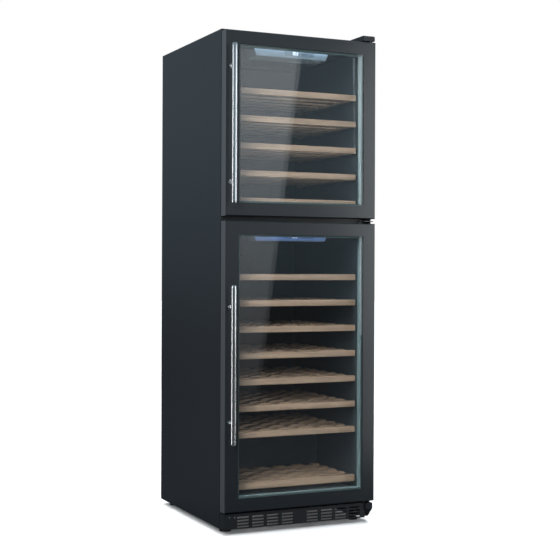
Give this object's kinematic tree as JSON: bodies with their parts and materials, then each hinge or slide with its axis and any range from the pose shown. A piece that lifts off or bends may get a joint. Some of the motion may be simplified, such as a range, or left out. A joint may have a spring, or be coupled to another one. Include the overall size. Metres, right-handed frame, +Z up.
{
  "type": "wine cooler",
  "caption": "Tall black wine cooler with two glass doors, tube handles, sliding beech shelves in two zones and a louvred plinth.",
  "frame": {"origin": "on the floor, under the middle of the whole object's box", "axes": "+Z up, -Y out of the doors, +X to the right when facing the doors (hinge side)"},
  "size_m": [0.595, 0.7225, 1.791],
  "materials": {
    "black_steel": "satin",
    "rear_steel": "matte",
    "zinc_steel": "satin",
    "screw_steel": "satin",
    "black_plastic": "matte",
    "foot_plastic": "matte",
    "rail_plastic": "satin",
    "liner_plastic": "satin",
    "duct_plastic": "satin",
    "panel_plastic": "gloss",
    "bush_plastic": "satin",
    "fan_plastic": "satin",
    "foam": "matte",
    "door_frame": "satin",
    "glass": "gloss",
    "spacer": "satin",
    "gasket": "matte",
    "rubber": "matte",
    "stainless": "polished",
    "beech": "satin",
    "aluminium": "satin",
    "condenser_metal": "satin",
    "compressor_paint": "gloss",
    "display": "gloss",
    "light": "gloss"
  },
  "bodies": {
    "cabinet": {"cabinet_wrap": "black_steel", "face_frame": "black_plastic", "back_panel": "rear_steel", "insulation_foam": "foam", "upper_liner": "liner_plastic", "lower_liner": "liner_plastic", "base_frame": "zinc_steel", "kick_grille": "black_plastic", "levelling_feet": "foot_plastic", "top_hinge": "zinc_steel", "middle_hinge": "black_steel", "bottom_hinge": "black_steel", "hinge_cover": "black_plastic", "cabinet_screws": "screw_steel", "shelf_rails": "rail_plastic", "upper_duct_cover": "duct_plastic", "lower_duct_cover": "duct_plastic", "evaporators": "aluminium", "upper_control_housing": "panel_plastic", "lower_control_housing": "panel_plastic", "control_displays": "display", "light_strips": "light", "compressor": "compressor_paint", "compressor_mounts": "rubber", "condenser": "condenser_metal", "condenser_fan_frame": "zinc_steel", "drain_pan": "black_plastic", "power_inlet": "black_plastic"},
    "upper_door": {"upper_door_frame": "door_frame", "upper_door_outer_glass": "glass", "upper_door_inner_glass": "glass", "upper_door_spacer": "spacer", "upper_door_gasket": "gasket", "upper_door_handle": "stainless", "upper_handle_posts": "stainless", "upper_door_bushes": "bush_plastic"},
    "lower_door": {"lower_door_frame": "door_frame", "lower_door_outer_glass": "glass", "lower_door_inner_glass": "glass", "lower_door_spacer": "spacer", "lower_door_gasket": "gasket", "lower_door_handle": "stainless", "lower_handle_posts": "stainless", "lower_door_bushes": "bush_plastic"},
    "upper_shelf_1_tray": {"upper_shelf_1": "beech"},
    "upper_shelf_2_tray": {"upper_shelf_2": "beech"},
    "upper_shelf_3_tray": {"upper_shelf_3": "beech"},
    "upper_shelf_4_tray": {"upper_shelf_4": "beech"},
    "upper_shelf_5_tray": {"upper_shelf_5": "beech"},
    "lower_shelf_1_tray": {"lower_shelf_1": "beech"},
    "lower_shelf_2_tray": {"lower_shelf_2": "beech"},
    "lower_shelf_3_tray": {"lower_shelf_3": "beech"},
    "lower_shelf_4_tray": {"lower_shelf_4": "beech"},
    "lower_shelf_5_tray": {"lower_shelf_5": "beech"},
    "lower_shelf_6_tray": {"lower_shelf_6": "beech"},
    "lower_shelf_7_tray": {"lower_shelf_7": "beech"},
    "bottom_rack_tray": {"bottom_rack": "beech"},
    "upper_fan_rotor": {"upper_fan": "fan_plastic"},
    "lower_fan_rotor": {"lower_fan": "fan_plastic"},
    "condenser_fan_rotor": {"condenser_fan": "fan_plastic"}
  },
  "joints": [
    {"name": "upper_door_hinge", "type": "hinge", "parent": "cabinet", "child": "upper_door", "pos_m": [0.2855, -0.28575, 1.4425], "axis": [0, 0, 1], "range_deg": [0, 105]},
    {"name": "lower_door_hinge", "type": "hinge", "parent": "cabinet", "child": "lower_door", "pos_m": [0.2855, -0.28575, 0.5905], "axis": [0, 0, 1], "range_deg": [0, 105]},
    {"name": "upper_shelf_1_slide", "type": "slide", "parent": "cabinet", "child": "upper_shelf_1_tray", "axis": [0, -1, 0], "range_m": [0, 0.11]},
    {"name": "upper_shelf_2_slide", "type": "slide", "parent": "cabinet", "child": "upper_shelf_2_tray", "axis": [0, -1, 0], "range_m": [0, 0.11]},
    {"name": "upper_shelf_3_slide", "type": "slide", "parent": "cabinet", "child": "upper_shelf_3_tray", "axis": [0, -1, 0], "range_m": [0, 0.11]},
    {"name": "upper_shelf_4_slide", "type": "slide", "parent": "cabinet", "child": "upper_shelf_4_tray", "axis": [0, -1, 0], "range_m": [0, 0.11]},
    {"name": "upper_shelf_5_slide", "type": "slide", "parent": "cabinet", "child": "upper_shelf_5_tray", "axis": [0, -1, 0], "range_m": [0, 0.11]},
    {"name": "lower_shelf_1_slide", "type": "slide", "parent": "cabinet", "child": "lower_shelf_1_tray", "axis": [0, -1, 0], "range_m": [0, 0.11]},
    {"name": "lower_shelf_2_slide", "type": "slide", "parent": "cabinet", "child": "lower_shelf_2_tray", "axis": [0, -1, 0], "range_m": [0, 0.11]},
    {"name": "lower_shelf_3_slide", "type": "slide", "parent": "cabinet", "child": "lower_shelf_3_tray", "axis": [0, -1, 0], "range_m": [0, 0.11]},
    {"name": "lower_shelf_4_slide", "type": "slide", "parent": "cabinet", "child": "lower_shelf_4_tray", "axis": [0, -1, 0], "range_m": [0, 0.11]},
    {"name": "lower_shelf_5_slide", "type": "slide", "parent": "cabinet", "child": "lower_shelf_5_tray", "axis": [0, -1, 0], "range_m": [0, 0.11]},
    {"name": "lower_shelf_6_slide", "type": "slide", "parent": "cabinet", "child": "lower_shelf_6_tray", "axis": [0, -1, 0], "range_m": [0, 0.11]},
    {"name": "lower_shelf_7_slide", "type": "slide", "parent": "cabinet", "child": "lower_shelf_7_tray", "axis": [0, -1, 0], "range_m": [0, 0.11]},
    {"name": "bottom_rack_slide", "type": "slide", "parent": "cabinet", "child": "bottom_rack_tray", "axis": [0, -1, 0], "range_m": [0, 0.11]},
    {"name": "upper_fan_spin", "type": "hinge", "parent": "cabinet", "child": "upper_fan_rotor", "pos_m": [0, 0.26175, 1.631], "axis": [0, 1, 0], "continuous": true},
    {"name": "lower_fan_spin", "type": "hinge", "parent": "cabinet", "child": "lower_fan_rotor", "pos_m": [0, 0.26175, 0.963], "axis": [0, 1, 0], "continuous": true},
    {"name": "condenser_fan_spin", "type": "hinge", "parent": "cabinet", "child": "condenser_fan_rotor", "pos_m": [0.12495, 0.19925, 0.122], "axis": [0, 1, 0], "continuous": true}
  ],
  "couplings": [
    {"joint": "upper_shelf_1_slide", "follows": "upper_door_hinge", "m_per_rad": 0.06},
    {"joint": "upper_shelf_2_slide", "follows": "upper_door_hinge", "m_per_rad": 0.06},
    {"joint": "upper_shelf_3_slide", "follows": "upper_door_hinge", "m_per_rad": 0.06},
    {"joint": "upper_shelf_4_slide", "follows": "upper_door_hinge", "m_per_rad": 0.06},
    {"joint": "upper_shelf_5_slide", "follows": "upper_door_hinge", "m_per_rad": 0.06},
    {"joint": "lower_shelf_1_slide", "follows": "lower_door_hinge", "m_per_rad": 0.06},
    {"joint": "lower_shelf_2_slide", "follows": "lower_door_hinge", "m_per_rad": 0.06},
    {"joint": "lower_shelf_3_slide", "follows": "lower_door_hinge", "m_per_rad": 0.06},
    {"joint": "lower_shelf_4_slide", "follows": "lower_door_hinge", "m_per_rad": 0.06},
    {"joint": "lower_shelf_5_slide", "follows": "lower_door_hinge", "m_per_rad": 0.06},
    {"joint": "lower_shelf_6_slide", "follows": "lower_door_hinge", "m_per_rad": 0.06},
    {"joint": "lower_shelf_7_slide", "follows": "lower_door_hinge", "m_per_rad": 0.06},
    {"joint": "bottom_rack_slide", "follows": "lower_door_hinge", "m_per_rad": 0.06}
  ]
}
